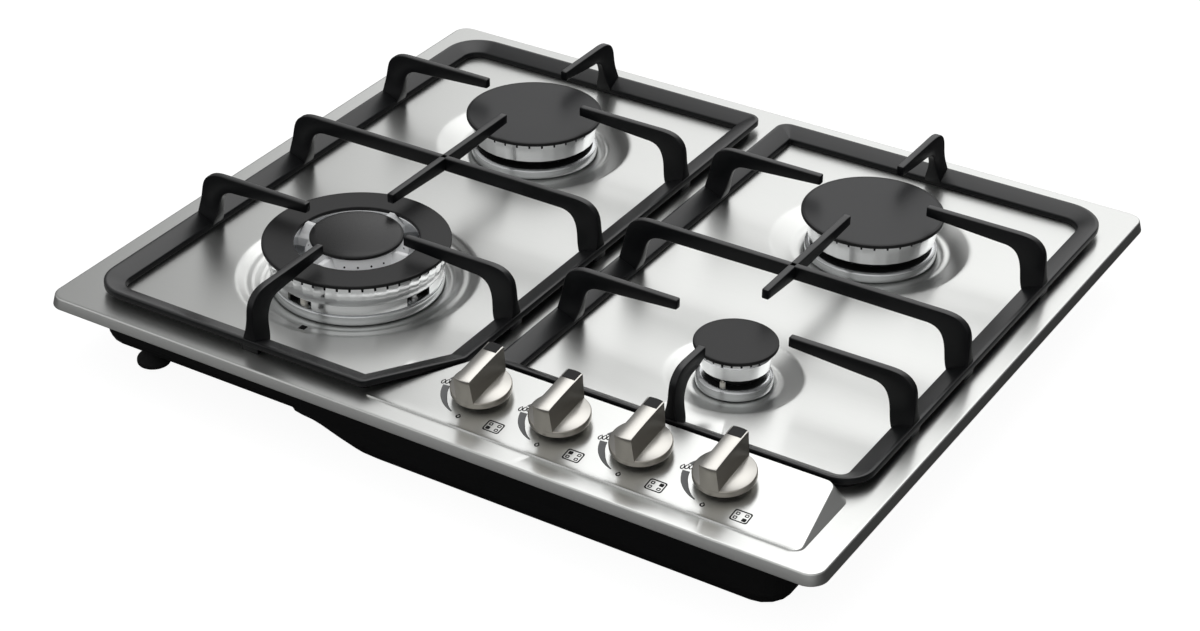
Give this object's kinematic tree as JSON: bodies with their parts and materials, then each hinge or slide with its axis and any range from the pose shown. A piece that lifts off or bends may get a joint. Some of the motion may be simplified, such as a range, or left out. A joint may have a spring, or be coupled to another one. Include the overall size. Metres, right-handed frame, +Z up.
{
  "type": "gas cooktop",
  "caption": "Drop-in gas cooktop: brushed steel plate, gas burners with lift-off caps, cast-iron pan supports, turning knobs on a raised corner panel and a black pan below.",
  "frame": {"origin": "on the floor under the middle of the plate, at the centre of the bounding box's bottom face", "axes": "+X to the right along the plate's long side, +Y to the back, +Z up; the knobs are at the front right"},
  "size_m": [0.594, 0.513, 0.0935],
  "materials": {
    "plate_steel": "brushed stainless steel, soft sheen",
    "pan_black": "black enamel, satin",
    "foot_rubber": "black, matt",
    "grate_iron": "black matt enamel on cast iron",
    "head_aluminium": "turned, satin",
    "cap_enamel": "dark grey matt enamel",
    "cup_aluminium": "die cast, dull",
    "rod_ceramic": "white glazed ceramic",
    "rod_steel": "satin",
    "fitting_brass": "turned",
    "knob_nickel": "satin nickel",
    "marker_black": "black",
    "tube_aluminium": "drawn tube",
    "rail_steel": "zinc plated",
    "plastic_black": "moulded, matt"
  },
  "bodies": {
    "base": {"top_plate": "plate_steel", "bottom_pan": "pan_black", "pan_foot_front": "foot_rubber", "pan_foot_rear": "foot_rubber", "burner_cup_front_left": "cup_aluminium", "igniter_front_left": "rod_ceramic", "flame_probe_front_left": "rod_steel", "jet_front_left": "fitting_brass", "tap_body_front_left": "fitting_brass", "gas_tube_front_left": "tube_aluminium", "burner_cup_rear_left": "cup_aluminium", "igniter_rear_left": "rod_ceramic", "flame_probe_rear_left": "rod_steel", "jet_rear_left": "fitting_brass", "tap_body_rear_left": "fitting_brass", "gas_tube_rear_left": "tube_aluminium", "burner_cup_rear_right": "cup_aluminium", "igniter_rear_right": "rod_ceramic", "flame_probe_rear_right": "rod_steel", "jet_rear_right": "fitting_brass", "tap_body_rear_right": "fitting_brass", "gas_tube_rear_right": "tube_aluminium", "burner_cup_front_right": "cup_aluminium", "igniter_front_right": "rod_ceramic", "flame_probe_front_right": "rod_steel", "jet_front_right": "fitting_brass", "tap_body_front_right": "fitting_brass", "gas_tube_front_right": "tube_aluminium", "gas_rail": "rail_steel", "gas_inlet": "fitting_brass", "mains_gland": "plastic_black", "ignition_module": "plastic_black"},
    "grate_left": {"grate_left": "grate_iron"},
    "grate_right": {"grate_right": "grate_iron"},
    "head_rear_left": {"burner_head_rear_left": "head_aluminium"},
    "cap_rear_left": {"burner_cap_rear_left": "cap_enamel"},
    "head_rear_right": {"burner_head_rear_right": "head_aluminium"},
    "cap_rear_right": {"burner_cap_rear_right": "cap_enamel"},
    "head_front_right": {"burner_head_front_right": "head_aluminium"},
    "cap_front_right": {"burner_cap_front_right": "cap_enamel"},
    "head_front_left": {"burner_head_front_left": "head_aluminium"},
    "ring_cap_front_left": {"ring_cap_front_left": "cap_enamel"},
    "inner_cap_front_left": {"inner_cap_front_left": "cap_enamel"},
    "plug_front_left": {"tap_plug_front_left": "fitting_brass"},
    "knob_front_left": {"tap_spindle_front_left": "rod_steel", "knob_front_left": "knob_nickel", "knob_marker_front_left": "marker_black"},
    "plug_rear_left": {"tap_plug_rear_left": "fitting_brass"},
    "knob_rear_left": {"tap_spindle_rear_left": "rod_steel", "knob_rear_left": "knob_nickel", "knob_marker_rear_left": "marker_black"},
    "plug_rear_right": {"tap_plug_rear_right": "fitting_brass"},
    "knob_rear_right": {"tap_spindle_rear_right": "rod_steel", "knob_rear_right": "knob_nickel", "knob_marker_rear_right": "marker_black"},
    "plug_front_right": {"tap_plug_front_right": "fitting_brass"},
    "knob_front_right": {"tap_spindle_front_right": "rod_steel", "knob_front_right": "knob_nickel", "knob_marker_front_right": "marker_black"}
  },
  "joints": [
    {"name": "grate_left_lift", "type": "slide", "parent": "base", "child": "grate_left", "axis": [0, 0, 1], "range_m": [0, 0.06]},
    {"name": "grate_right_lift", "type": "slide", "parent": "base", "child": "grate_right", "axis": [0, 0, 1], "range_m": [0, 0.06]},
    {"name": "head_rear_left_lift", "type": "slide", "parent": "base", "child": "head_rear_left", "axis": [0, 0, 1], "range_m": [0, 0.006]},
    {"name": "cap_rear_left_lift", "type": "slide", "parent": "head_rear_left", "child": "cap_rear_left", "axis": [0, 0, 1], "range_m": [0, 0.006]},
    {"name": "head_rear_right_lift", "type": "slide", "parent": "base", "child": "head_rear_right", "axis": [0, 0, 1], "range_m": [0, 0.0045]},
    {"name": "cap_rear_right_lift", "type": "slide", "parent": "head_rear_right", "child": "cap_rear_right", "axis": [0, 0, 1], "range_m": [0, 0.0045]},
    {"name": "head_front_right_lift", "type": "slide", "parent": "base", "child": "head_front_right", "axis": [0, 0, 1], "range_m": [0, 0.06]},
    {"name": "cap_front_right_lift", "type": "slide", "parent": "head_front_right", "child": "cap_front_right", "axis": [0, 0, 1], "range_m": [0, 0.06]},
    {"name": "head_front_left_lift", "type": "slide", "parent": "base", "child": "head_front_left", "axis": [0, 0, 1], "range_m": [0, 0.004]},
    {"name": "ring_cap_front_left_lift", "type": "slide", "parent": "head_front_left", "child": "ring_cap_front_left", "axis": [0, 0, 1], "range_m": [0, 0.004]},
    {"name": "inner_cap_front_left_lift", "type": "slide", "parent": "head_front_left", "child": "inner_cap_front_left", "axis": [0, 0, 1], "range_m": [0, 0.06]},
    {"name": "knob_front_left_turn", "type": "hinge", "parent": "base", "child": "plug_front_left", "pos_m": [0.0274, -0.2038, 0.0554], "axis": [0, -0.1361, 0.9907], "range_deg": [0, 180]},
    {"name": "knob_front_left_press", "type": "slide", "parent": "plug_front_left", "child": "knob_front_left", "axis": [0, 0.1361, -0.9907], "range_m": [0, 0.0024], "stiffness_N_per_m": 800, "springref_m": -0.005},
    {"name": "knob_rear_left_turn", "type": "hinge", "parent": "base", "child": "plug_rear_left", "pos_m": [0.0866, -0.2038, 0.0554], "axis": [0, -0.1361, 0.9907], "range_deg": [0, 180]},
    {"name": "knob_rear_left_press", "type": "slide", "parent": "plug_rear_left", "child": "knob_rear_left", "axis": [0, 0.1361, -0.9907], "range_m": [0, 0.0024], "stiffness_N_per_m": 800, "springref_m": -0.005},
    {"name": "knob_rear_right_turn", "type": "hinge", "parent": "base", "child": "plug_rear_right", "pos_m": [0.1458, -0.2038, 0.0554], "axis": [0, -0.1361, 0.9907], "range_deg": [0, 180]},
    {"name": "knob_rear_right_press", "type": "slide", "parent": "plug_rear_right", "child": "knob_rear_right", "axis": [0, 0.1361, -0.9907], "range_m": [0, 0.0024], "stiffness_N_per_m": 800, "springref_m": -0.005},
    {"name": "knob_front_right_turn", "type": "hinge", "parent": "base", "child": "plug_front_right", "pos_m": [0.205, -0.2038, 0.0554], "axis": [0, -0.1361, 0.9907], "range_deg": [0, 180]},
    {"name": "knob_front_right_press", "type": "slide", "parent": "plug_front_right", "child": "knob_front_right", "axis": [0, 0.1361, -0.9907], "range_m": [0, 0.0024], "stiffness_N_per_m": 800, "springref_m": -0.005}
  ]
}
